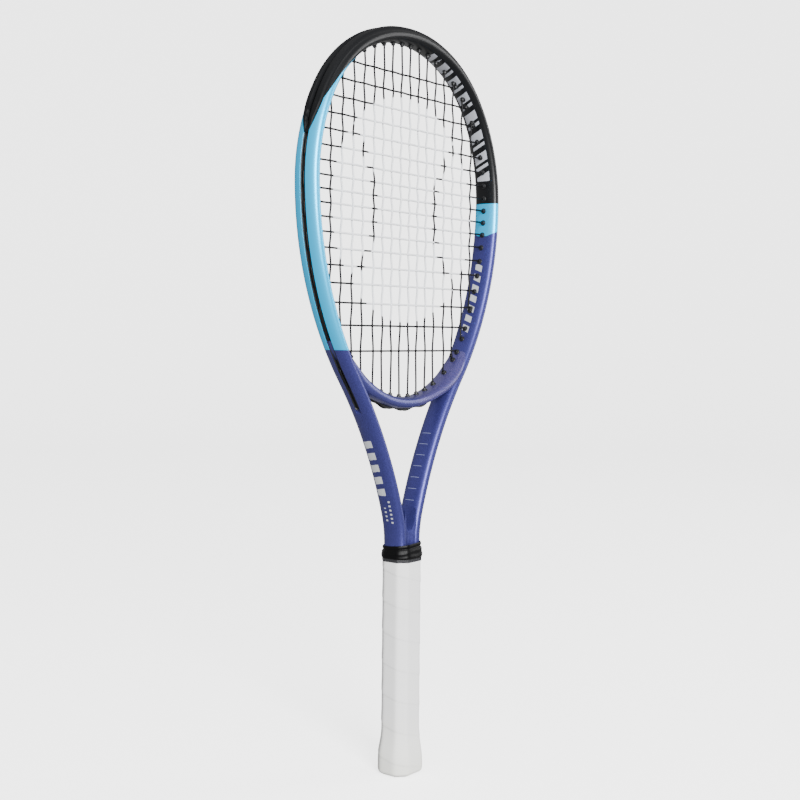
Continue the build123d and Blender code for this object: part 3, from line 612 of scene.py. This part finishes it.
def make_bumper():
    """Wrap the guard round the outer wall: ribbed skin, a channel for the strings, thin lips."""
    step = 1.25
    count = round(2 * BUMPER_END / step)
    rings = []
    for i in range(count + 1):
        along = -BUMPER_END + 2 * BUMPER_END * i / count
        deep = beam_half(outline(along)[1])
        reach = bumper_reach(abs(along))
        thin = 1 - smooth((abs(along) - BUMPER_END + 14) / 14)
        outside, inside = [], []
        steps = 34
        for j in range(steps + 1):
            y = reach * (2 * j / steps - 1)
            flat = 1 - (abs(y) / deep) ** TUBE_SQUARENESS
            wall = TUBE_HALF_WIDTH * flat ** (1 / TUBE_SQUARENESS)
            edge = min((reach - abs(y)) / 0.9, 1.0)
            channel = smooth((2.4 - abs(y)) / 0.9)
            proud = (BUMPER_PROUD * thin + 0.25) * math.sqrt(max(edge, 0)) * (1 - 0.95 * channel)
            rib = 0.28 * thin * max(0.0, math.cos(2 * math.pi * (abs(y) - 4.6) / 2.3)) ** 3
            proud += rib if 3.2 < abs(y) < reach - 1.2 else 0.0
            sunk = 2.6 * channel * thin
            outside.append((wall + proud - sunk, y))
            inside.append((wall - 0.35 - sunk, y))
        rings.append([place(along, out, y) for out, y in outside + inside[::-1]])
    mesh = tube_mesh("bumper", rings)
    sharp_edges(mesh, 55)
    return new_object("bumper", mesh, guard_nylon)


# ---- grommets: bands in the groove and a sleeve for every string --------------------------------

BAND_PROFILE = [  # outward from the tube's centre, y
    (2.9, 2.55), (5.30, 2.62), (5.75, 2.45), (5.80, 2.15), (5.55, 1.90), (3.85, 1.75), (3.75, 0.0),
]
HEAD_LINKS = LINKS[: len(HEAD_ARCS)]


def band_ring(raised, shrink=1.0):
    """Closed section of a grommet band, its lips raised by some height."""
    half = [(out + (raised if out > 5 else 0), y * shrink) for out, y in BAND_PROFILE]
    return half + [(out, -y) for out, y in reversed(half[:-1])]


def make_grommet_band(name, side):
    """Nylon channel that lines the groove, from the guard's wing to the arm."""
    first, last = BUMPER_END - 3.0, GROOVE_END_ALONG - 4.0
    count = round((last - first) / 1.5)
    rings = []
    for i in range(count + 1):
        along = first + (last - first) * i / count
        close = math.sqrt(smooth(min(along - first + 0.2, last - along + 0.2) / 2.2))
        rings.append([place(side * along, out, y) for out, y in band_ring(0.0, close)])
    mesh = tube_mesh(name, rings)
    sharp_edges(mesh, 45)
    return new_object(name, mesh, grommet_nylon)


def make_throat_band():
    """The same channel under the bridge, with tall scalloped lips that show below it."""
    reach = math.asin(BRIDGE_STRIP_HALF / (BRIDGE_FACE + BRIDGE_WIDTH))
    middle = BRIDGE_FACE + BRIDGE_WIDTH / 2
    count = 120
    rings = []
    for i in range(count + 1):
        angle = reach * (2 * i / count - 1)
        run = abs(angle) * middle
        ends = smooth((reach * middle - run) / 9)
        raised = (1.7 + 1.0 * math.cos(2 * math.pi * run / 25.5)) * ends - 0.75
        rings.append([place_on_bridge(angle, middle + out, y) for out, y in band_ring(raised)])
    mesh = tube_mesh("throat_band", rings)
    sharp_edges(mesh, 45)
    return new_object("throat_band", mesh, grommet_nylon)


def string_lip(x=None, z=None, top=True):
    """Tip of the sleeve for a string at an x or a height, and the way its hole runs outwards."""
    for centre_x, centre_z, radius, first, last, _ in HEAD_LINKS:
        inside = radius - TUBE_HALF_WIDTH - LIP
        share = (z - centre_z) / inside if x is None else (x - centre_x) / inside
        if abs(share) > 1:
            continue
        if x is None:
            angle = math.acos(share)
        else:
            angle = math.asin(share) if top else math.pi - math.asin(share)
        if first <= angle <= min(last, math.radians(BRIDGE_LEAVES)):
            toward = (math.sin(angle), math.cos(angle))
            return centre_x + inside * toward[0], centre_z + inside * toward[1], toward
    inside = BRIDGE_FACE - LIP
    drop = BRIDGE_CENTRE_Z - z if x is None else math.sqrt(inside**2 - x**2)
    across = math.sqrt(inside**2 - drop**2) if x is None else x
    lip_x, lip_z = across, BRIDGE_CENTRE_Z - drop
    if across < BRIDGE_STRIP_HALF:
        return lip_x, lip_z, (across / inside, -drop / inside)
    flank_x, flank_z = HEAD_LINKS[-1][0], HEAD_LINKS[-1][1]
    reach = math.hypot(lip_x - flank_x, lip_z - flank_z)
    return lip_x, lip_z, ((lip_x - flank_x) / reach, (lip_z - flank_z) / reach)


CROSS_HEIGHTS = [CROSS_TOP - sum(CROSS_GAPS[:count]) for count in range(len(CROSS_GAPS) + 1)]
TOP_LIPS = [string_lip(x=offset) for offset in MAIN_OFFSETS]
BOTTOM_LIPS = [
    string_lip(x=offset + (MOUTH_SHIFT if BRIDGE_STRIP_HALF < offset < MAIN_OFFSETS[-1] else 0),
               top=False)
    for offset in MAIN_OFFSETS
]
SIDE_LIPS = [string_lip(z=height) for height in CROSS_HEIGHTS]


def mirrored(lips):
    """Holes from the far left to the far right, given the right half from the middle out."""
    left = [(-x, z, (-toward[0], toward[1])) for x, z, toward in reversed(lips)]
    return left + list(lips)


def built_by(piece, tree, values):
    """Run a geometry node tree on a piece with some inputs, and keep the mesh that it makes."""
    modifier = piece.modifiers.new(tree.name, "NODES")
    modifier.node_group = tree
    for socket, value in values.items():
        modifier[socket] = value
    finished = bpy.data.meshes.new_from_object(
        piece.evaluated_get(bpy.context.evaluated_depsgraph_get()))
    piece.modifiers.clear()
    piece.data = finished
    return finished


def make_sleeves():
    """One moulded sleeve with a flange, repeated at every hole by a geometry node tree."""
    profile = [  # distance from the sleeve's tip towards the frame, radius
        (7.0, 1.80), (2.75, 1.85), (2.70, 2.70), (2.25, 2.75), (1.95, 2.50), (1.80, 1.95),
        (0.35, 1.80), (0.0, 1.58), (-0.02, 1.20), (0.25, 1.02), (7.0, 1.0),
    ]
    sides = 20
    rings = [ring_round(sides, depth, lambda turn: radius) for depth, radius in profile]
    pattern_mesh = tube_mesh("sleeve_pattern", rings, joined=True)
    sharp_edges(pattern_mesh, 50)
    pattern = new_object("sleeve_pattern", pattern_mesh)

    places = bpy.data.meshes.new("string_sleeves")
    points, directions = [], []
    for x, z, toward in mirrored(TOP_LIPS) + mirrored(BOTTOM_LIPS) + mirrored(SIDE_LIPS):
        points.append((x * MM, 0.0, z * MM))
        directions += [toward[0], 0.0, toward[1]]
    places.from_pydata(points, [], [])
    layer = places.attributes.new("direction", "FLOAT_VECTOR", "POINT")
    layer.data.foreach_set("vector", directions)
    sleeves = new_object("string_sleeves", places)

    tree = bpy.data.node_groups.new("repeat_sleeves", "GeometryNodeTree")
    panel = tree.interface
    panel.new_socket("Places", in_out="INPUT", socket_type="NodeSocketGeometry")
    part_socket = panel.new_socket("Sleeve", in_out="INPUT", socket_type="NodeSocketObject")
    size_socket = panel.new_socket("Sleeve Size", in_out="INPUT", socket_type="NodeSocketFloat")
    panel.new_socket("Sleeves", in_out="OUTPUT", socket_type="NodeSocketGeometry")
    given = add_node(tree, "NodeGroupInput")
    part = add_node(tree, "GeometryNodeObjectInfo", {"Object": given.outputs["Sleeve"]})
    spots = add_node(tree, "GeometryNodeMeshToPoints", {"Mesh": given.outputs["Places"]})
    direction = add_node(tree, "GeometryNodeInputNamedAttribute", {"Name": "direction"},
                         data_type="FLOAT_VECTOR")
    turned = add_node(tree, "FunctionNodeAlignRotationToVector",
                      {"Vector": direction.outputs["Attribute"]}, axis="Z")
    repeated = add_node(tree, "GeometryNodeInstanceOnPoints", {
        "Points": spots.outputs[0], "Instance": part.outputs["Geometry"],
        "Rotation": turned.outputs[0], "Scale": given.outputs["Sleeve Size"]})
    joined = add_node(tree, "GeometryNodeRealizeInstances", {"Geometry": repeated.outputs[0]})
    coated = add_node(tree, "GeometryNodeSetMaterial", {
        "Geometry": joined.outputs[0], "Material": grommet_nylon})
    add_node(tree, "NodeGroupOutput", {"Sleeves": coated.outputs[0]})

    built_by(sleeves, tree, {part_socket.identifier: pattern, size_socket.identifier: 1.0})
    bpy.data.objects.remove(pattern)
    return sleeves


# ---- strings: woven across the hoop and looped along the groove ---------------------------------

STRING_RADIUS = 0.85  # a little stout, so that the bed reads as dark as it does to the eye
STRING_SIDES = 10
WEAVE = 0.62  # how far each string rises or dips at a crossing
LOOP_OUT = 5.15  # how far out of the tube's centre the loops lie, on the band's floor


def hole_along(lip):
    """Signed distance along the frame where a hole crosses it, or None in the bridge."""
    x, z, toward = lip
    if z < BRIDGE_CENTRE_Z and abs(x) < BRIDGE_STRIP_HALF:
        return None
    angle = math.atan2(abs(toward[0]), toward[1])
    for centre_x, centre_z, radius, first, last, start in HEAD_LINKS:
        onto = math.atan2(abs(x) - centre_x, z - centre_z)
        if abs(onto - angle) < 1e-4 and (angle <= last or start == HEAD_LINKS[-1][-1]):
            return math.copysign(start + (angle - first) * radius, x)
    raise ValueError("a string hole lies on no arc of the hoop")


def groove_loop(lip, other, lane):
    """Points of the loop in the groove from one hole to the next."""
    first, last = hole_along(lip), hole_along(other)
    steps = 6
    if first is None:
        radius = BRIDGE_FACE + BRIDGE_WIDTH / 2 + LOOP_OUT - 0.75
        turns = [math.asin(one[2][0]) for one in (lip, other)]
        angles = [turns[0] + (turns[1] - turns[0]) * step / steps for step in range(steps + 1)]
        return [place_on_bridge(angle, radius, lane) for angle in angles]
    return [place(first + (last - first) * step / steps, LOOP_OUT, lane)
            for step in range(steps + 1)]


def woven_run(start, end, crossings, first_sign):
    """One string across the bed: straight in plan, over and under at each crossing."""
    knots = [(0.0, 0.0)]
    for order, share in enumerate(crossings):
        knots.append((share, WEAVE * first_sign * (-1) ** order))
    knots.append((1.0, 0.0))
    run = []
    for (share, rise), (share_after, rise_after) in zip(knots, knots[1:]):
        for step in range(5):
            part = share + (share_after - share) * step / 5
            run.append((
                start[0] + (end[0] - start[0]) * part,
                rise + (rise_after - rise) * smooth(step / 5),
                start[1] + (end[1] - start[1]) * part))
    return run + [(end[0], 0.0, end[1])]


def main_string_line():
    """The long string's path: down one main, along the groove, and up the next."""
    tops, bottoms = mirrored(TOP_LIPS), mirrored(BOTTOM_LIPS)
    line = []
    for order, (top, bottom) in enumerate(zip(tops, bottoms)):
        crossings = [(height - top[1]) / (bottom[1] - top[1]) for height in CROSS_HEIGHTS
                     if bottom[1] + 1 < height < top[1] - 1]
        skipped = sum(height >= top[1] - 1 for height in CROSS_HEIGHTS)
        run = woven_run(top, bottom, crossings, (-1) ** (order + skipped))
        if order % 2:
            run.reverse()
        line += run
        ends = bottoms if order % 2 == 0 else tops
        if order + 1 < len(tops):
            line += groove_loop(ends[order], ends[order + 1], LANE)
    return line


def cross_string_line():
    """The other string's path, side to side from the top of the bed to its foot."""
    mains = mirrored(TOP_LIPS), mirrored(BOTTOM_LIPS)
    line = []
    for order, lip in enumerate(SIDE_LIPS):
        right, left = lip, (-lip[0], lip[1], (-lip[2][0], lip[2][1]))
        crossings, skipped = [], 0
        for top, bottom in zip(*mains):
            x = top[0] + (bottom[0] - top[0]) * (lip[1] - top[1]) / (bottom[1] - top[1])
            if abs(x) < right[0] - 1:
                crossings.append((x - left[0]) / (right[0] - left[0]))
            elif x < 0:
                skipped += 1
        run = woven_run(left, right, crossings, -((-1) ** (order + skipped)))
        if order % 2:
            run.reverse()
        line += run
        if order + 1 < len(SIDE_LIPS):
            after = SIDE_LIPS[order + 1]
            side = -1 if order % 2 else 1
            line += groove_loop(
                (side * lip[0], lip[1], (side * lip[2][0], lip[2][1])),
                (side * after[0], after[1], (side * after[2][0], after[2][1])), -LANE)
    return line


def make_string_tree():
    """Node tree that draws a round monofilament along a line of points."""
    tree = bpy.data.node_groups.new("draw_string", "GeometryNodeTree")
    panel = tree.interface
    panel.new_socket("Line", in_out="INPUT", socket_type="NodeSocketGeometry")
    radius_socket = panel.new_socket("Radius", in_out="INPUT", socket_type="NodeSocketFloat")
    sides_socket = panel.new_socket("Sides", in_out="INPUT", socket_type="NodeSocketInt")
    panel.new_socket("String", in_out="OUTPUT", socket_type="NodeSocketGeometry")
    given = add_node(tree, "NodeGroupInput")
    line = add_node(tree, "GeometryNodeMeshToCurve", {"Mesh": given.outputs["Line"]})
    section = add_node(tree, "GeometryNodeCurvePrimitiveCircle", {
        "Radius": given.outputs["Radius"], "Resolution": given.outputs["Sides"]})
    drawn = add_node(tree, "GeometryNodeCurveToMesh", {
        "Curve": line.outputs[0], "Profile Curve": section.outputs[0], "Fill Caps": True})
    joined = add_node(tree, "GeometryNodeRealizeInstances", {"Geometry": drawn.outputs[0]})
    coated = add_node(tree, "GeometryNodeSetMaterial", {
        "Geometry": joined.outputs[0], "Material": string_polyester})
    add_node(tree, "NodeGroupOutput", {"String": coated.outputs[0]})
    return tree, radius_socket.identifier, sides_socket.identifier


def make_string(name, line, tree, radius_input, sides_input):
    """Draw one string along its path and turn the result into a plain mesh."""
    path = bpy.data.meshes.new(name)
    path.from_pydata([(x * MM, y * MM, z * MM) for x, y, z in line],
                     [(i, i + 1) for i in range(len(line) - 1)], [])
    piece = new_object(name, path)
    drawn = built_by(piece, tree, {radius_input: STRING_RADIUS * MM, sides_input: STRING_SIDES})
    outward(drawn)
    drawn.shade_smooth()
    sharp_edges(drawn, 60)
    return piece


# ---- grip and collar ----------------------------------------------------------------------------

GRIP_LOW, GRIP_HIGH = 1.2, 205.8
GRIP_HALF_X, GRIP_HALF_Y, GRIP_BEVEL = 17.0, 15.3, 17.65
GRIP_THICKNESS = 1.9
WRAP_PITCH = 29.0  # height that one turn of the strip climbs
WRAP_STEP = 0.42  # how far its edge stands over the turn below


def octagon_reach(turn, half_x, half_y, bevel, roundness):
    """Distance from the axis to a rounded octagon, looking along a direction."""
    total = 0.0
    for face in range(8):
        toward = math.cos(turn - face * math.pi / 4)
        distance = (half_x, bevel, half_y, bevel)[face % 4]
        if toward > 0:
            total += (toward / distance) ** roundness
    return total ** (-1 / roundness)


def grip_flare(z):
    """How far the butt has flared: 0 along the grip and 1 at the wide rim."""
    return smooth((44 - z) / 32) ** 1.15


def wrap_height(turn, z):
    """Strip wound round the handle: it steps up at its edge, then eases down to the next one."""
    place_in_turn = (z / WRAP_PITCH + turn / (2 * math.pi)) % 1.0
    rise = smooth(place_in_turn / 0.035)
    return WRAP_STEP * (rise * (1 - 0.75 * smooth((place_in_turn - 0.04) / 0.5)) - 0.35)


def make_grip():
    """Rounded octagon with a flared, rounded butt and the spiral edge of its wrap."""
    sides = 144
    heights = [GRIP_LOW + 0.0, GRIP_LOW + 0.15, GRIP_LOW + 0.5, GRIP_LOW + 1.1, GRIP_LOW + 1.9]
    heights += list(np.arange(GRIP_LOW + 2.8, GRIP_HIGH - 0.3, 0.8)) + [GRIP_HIGH - 0.3, GRIP_HIGH]
    outside, inside = [], []
    for z in heights:
        flare = grip_flare(z)
        low = max(0.0, 1 - (z - GRIP_LOW) / 2.8)
        tuck = 2.4 * (1 - math.sqrt(1 - low * low))
        top = 0.5 * smooth((z - GRIP_HIGH + 0.8) / 0.8)
        widest = (GRIP_HALF_X + 3.3 * flare, GRIP_HALF_Y + 3.0 * flare, GRIP_BEVEL + 3.2 * flare)
        outside.append(ring_round(sides, z, lambda turn: (
            octagon_reach(turn, *widest, 26 - 8 * flare)
            + (wrap_height(turn, z) * (1 - 0.6 * low) - tuck - top - 0.12))))
    for z in (GRIP_HIGH, 150.0, 60.0, 42.0, 14.0, GRIP_LOW):
        flare = grip_flare(z)
        shrink = 1 - GRIP_THICKNESS / GRIP_HALF_Y
        widest = (GRIP_HALF_X + 3.2 * flare, GRIP_HALF_Y + 2.9 * flare, GRIP_BEVEL + 3.1 * flare)
        inside.append(ring_round(
            sides, z, lambda turn: shrink * octagon_reach(turn, *widest, 26)))
    mesh = tube_mesh("grip", outside + inside, joined=True)
    sharp_edges(mesh, 60)
    return new_object("grip", mesh, grip_leather)


COLLAR_LEANS = 2.24  # direction, in radians round the shaft, where its top edge sits lowest


def make_collar():
    """Rubber sleeve over the end of the grip: thin ridge above a creased, stretched band."""
    sides = 128
    profile = [  # z, extra reach beyond the grip's octagon, share of creasing
        (202.6, 0.45, 0.0), (202.0, 0.80, 0.2), (202.3, 1.10, 0.6), (203.0, 1.30, 1.0),
        (204.0, 1.30, 1.0), (205.0, 1.20, 1.0), (206.0, 1.15, 1.0), (207.0, 1.15, 1.0),
        (208.0, 1.10, 1.0), (209.2, 1.05, 1.0), (210.4, 0.95, 0.9), (211.4, 0.70, 0.6),
        (212.1, 0.15, 0.3), (212.6, -0.25, 0.1), (213.1, -0.30, 0.0), (213.6, 0.00, 0.0),
        (214.4, 0.30, 0.0), (215.4, 0.30, 0.0), (216.1, 0.05, 0.0), (216.5, -0.14, 0.0),
        (216.4, -0.26, 0.0),
    ]
    rings = []
    for z, extra, creased in profile:
        ring = []
        for side in range(sides):
            turn = 2 * math.pi * side / sides
            reach = octagon_reach(turn, GRIP_HALF_X, GRIP_HALF_Y, GRIP_BEVEL, 22) + extra
            fold = z + 1.5 * math.sin(2 * turn + 0.4) + 0.7 * math.sin(5 * turn + 1.9)
            crease = 0.17 * math.sin(2 * math.pi * fold / 5.2) + 0.10 * math.sin(3 * turn + 0.5 * z)
            bulge = 0.5 * smooth(1 - abs(turn - 5.5) / 0.5) * smooth(1 - abs(z - 205.0) / 3)
            reach += creased * (crease - 0.05) + bulge
            low_side = 0.5 + 0.5 * math.cos(turn - COLLAR_LEANS)
            lean = -3.4 * low_side * smooth((z - 204) / 10)
            ring.append((reach * math.cos(turn), reach * math.sin(turn), z + lean))
        rings.append(ring)
    for z, half_x, half_y in ((211.5, 16.5, 12.35), (209.0, 17.3, 15.0), (206.6, 17.45, 15.75),
                              (202.8, 17.45, 15.75)):
        bevel = 18.05 if z < 208 else 17.2
        rings.append(ring_round(
            sides, z, lambda turn: octagon_reach(turn, half_x, half_y, bevel, 22)))
    mesh = tube_mesh("collar", rings, joined=True)
    sharp_edges(mesh, 70)
    return new_object("collar", mesh, collar_rubber)


# ---- building the racket -------------------------------------------------------------------------

frame_shell = make_frame_shell()
shaft_web = make_shaft_web()
bridge_shell = make_throat_bridge()
bumper = make_bumper()
grip = make_grip()
collar = make_collar()
grommet_band_right = make_grommet_band("grommet_band_right", 1)
grommet_band_left = make_grommet_band("grommet_band_left", -1)
throat_band = make_throat_band()
string_sleeves = make_sleeves()
string_tree = make_string_tree()
main_string = make_string("mains", main_string_line(), *string_tree)
cross_string = make_string("crosses", cross_string_line(), *string_tree)

for piece, body, slot, stands_for in (
    (frame_shell, RACKET, "lacquered_carbon", "frame_tube"),
    (shaft_web, RACKET, "lacquered_carbon", None),
    (bridge_shell, RACKET, "lacquered_carbon", "throat_bridge"),
    (bumper, RACKET, "guard_nylon", "bumper_guard"),
    (grip, RACKET, "grip_leather", "base_grip"),
    (collar, COLLAR, "collar_rubber", "rubber_collar"),
    (grommet_band_right, RACKET, "grommet_nylon", "grommet_strip_right"),
    (grommet_band_left, RACKET, "grommet_nylon", "grommet_strip_left"),
    (throat_band, RACKET, "grommet_nylon", "throat_grommet_strip"),
    (string_sleeves, RACKET, "grommet_nylon", None),
    (main_string, RACKET, "string", "main_string"),
    (cross_string, RACKET, "string", "cross_string"),
):
    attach(piece, body)
    if stands_for:
        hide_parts(stands_for)

for node, material in (
    ("main_string_knots", string_polyester),
    ("cross_string_knots", string_polyester),
    ("tang_plug", plug_foam),
    ("handle_pallet", pallet_foam),
    ("butt_cap", cap_nylon),
    ("butt_cap_badge", badge_acrylic),
    ("butt_cap_staples", staple_steel),
    ("finishing_tape", finishing_film),
):
    for material_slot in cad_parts[node].material_slots:
        material_slot.material = material

# ---- floor, light and camera ---------------------------------------------------------------------


def make_studio():
    """White paper floor that sweeps up into a round wall, the same from every side."""
    floor_reach, bend, high, sides = 3.6, 1.4, 6.0, 96
    line = [(0.4, 0.0), (1.6, 0.0), (floor_reach, 0.0)]
    for step in range(1, 13):
        turn = math.radians(90 * step / 12)
        line.append((floor_reach + bend * math.sin(turn), bend - bend * math.cos(turn)))
    line.append((floor_reach + bend, high))
    points = [Vector((0, 0, 0))]
    faces = []
    for reach, height in line:
        for side in range(sides):
            turn = 2 * math.pi * side / sides
            points.append(Vector((reach * math.cos(turn), reach * math.sin(turn), height)))
    for side in range(sides):
        after = (side + 1) % sides
        faces.append((0, 1 + side, 1 + after))
        for row in range(len(line) - 1):
            below, above = 1 + row * sides, 1 + (row + 1) * sides
            faces.append((below + side, above + side, above + after, below + after))
    mesh = bpy.data.meshes.new("paper_sweep")
    mesh.from_pydata(points, [], faces)
    mesh.shade_smooth()
    # white paper, lit from behind so that it stays white and casts nothing on the lacquer
    material, tree, surface = new_material(
        "matt_seamless_paper",
        **{"Roughness": 0.9, "Emission Color": srgb("#ffffff"), "Emission Strength": 2.6})
    normal, mottle = grain_bump(tree, 1.5, 0.02, 0.2)
    tree.links.new(coats(tree, srgb("#fbfbfb"), (srgb("#ffffff"), mottle)),
                   surface.inputs["Base Color"])
    tree.links.new(normal, surface.inputs["Normal"])
    sweep = new_object("paper_sweep", mesh, material)
    sweep.visible_diffuse = False
    sweep.visible_glossy = False
    sweep.visible_shadow = False


def softbox(name, place_at, aim, width, height, watts):
    """A large soft light, aimed at a point."""
    lamp = bpy.data.lights.new(name, "AREA")
    lamp.shape = "RECTANGLE"
    lamp.size, lamp.size_y, lamp.energy = width, height, watts
    holder = bpy.data.objects.new(name, lamp)
    bpy.context.scene.collection.objects.link(holder)
    holder.location = place_at
    holder.rotation_euler = (Vector(aim) - Vector(place_at)).to_track_quat("-Z", "Y").to_euler()


CAMERA_AZIMUTH, CAMERA_ELEVATION, CAMERA_ROLL = -51.829, 2.767, 0.525
CAMERA_DISTANCE = 1.1962
CAMERA_LENS = 58.5
CAMERA_AIM = Vector((-0.00467, 0.0, 0.34778))


def make_camera():
    """Stand the camera level with the middle of the racket, turned to its left front."""
    turn, rise = math.radians(CAMERA_AZIMUTH), math.radians(CAMERA_ELEVATION)
    back = Vector((
        math.sin(turn) * math.cos(rise), -math.cos(turn) * math.cos(rise), math.sin(rise)))
    camera = bpy.data.objects.new("camera", bpy.data.cameras.new("camera"))
    bpy.context.scene.collection.objects.link(camera)
    camera.data.lens = CAMERA_LENS
    camera.data.sensor_width = 36.0
    camera.location = CAMERA_AIM + back * CAMERA_DISTANCE
    level = back.to_track_quat("Z", "Y")
    camera.rotation_mode = "QUATERNION"
    camera.rotation_quaternion = level @ Quaternion((0, 0, 1), math.radians(CAMERA_ROLL))
    bpy.context.scene.camera = camera


make_camera()
make_studio()
world = bpy.data.worlds.new("studio")
bpy.context.scene.world = world
world.use_nodes = True
background = world.node_tree.nodes["Background"]
background.inputs["Color"].default_value = srgb("#ffffff")
background.inputs["Strength"].default_value = 0.55
middle = (0.0, 0.0, 0.4)
softbox("key_softbox", (-1.5, -2.3, 1.2), middle, 1.0, 1.8, 215)
softbox("side_softbox", (2.2, -1.4, 1.0), middle, 0.8, 1.8, 30)
softbox("top_softbox", (-0.4, 0.3, 2.8), middle, 1.6, 1.6, 12)
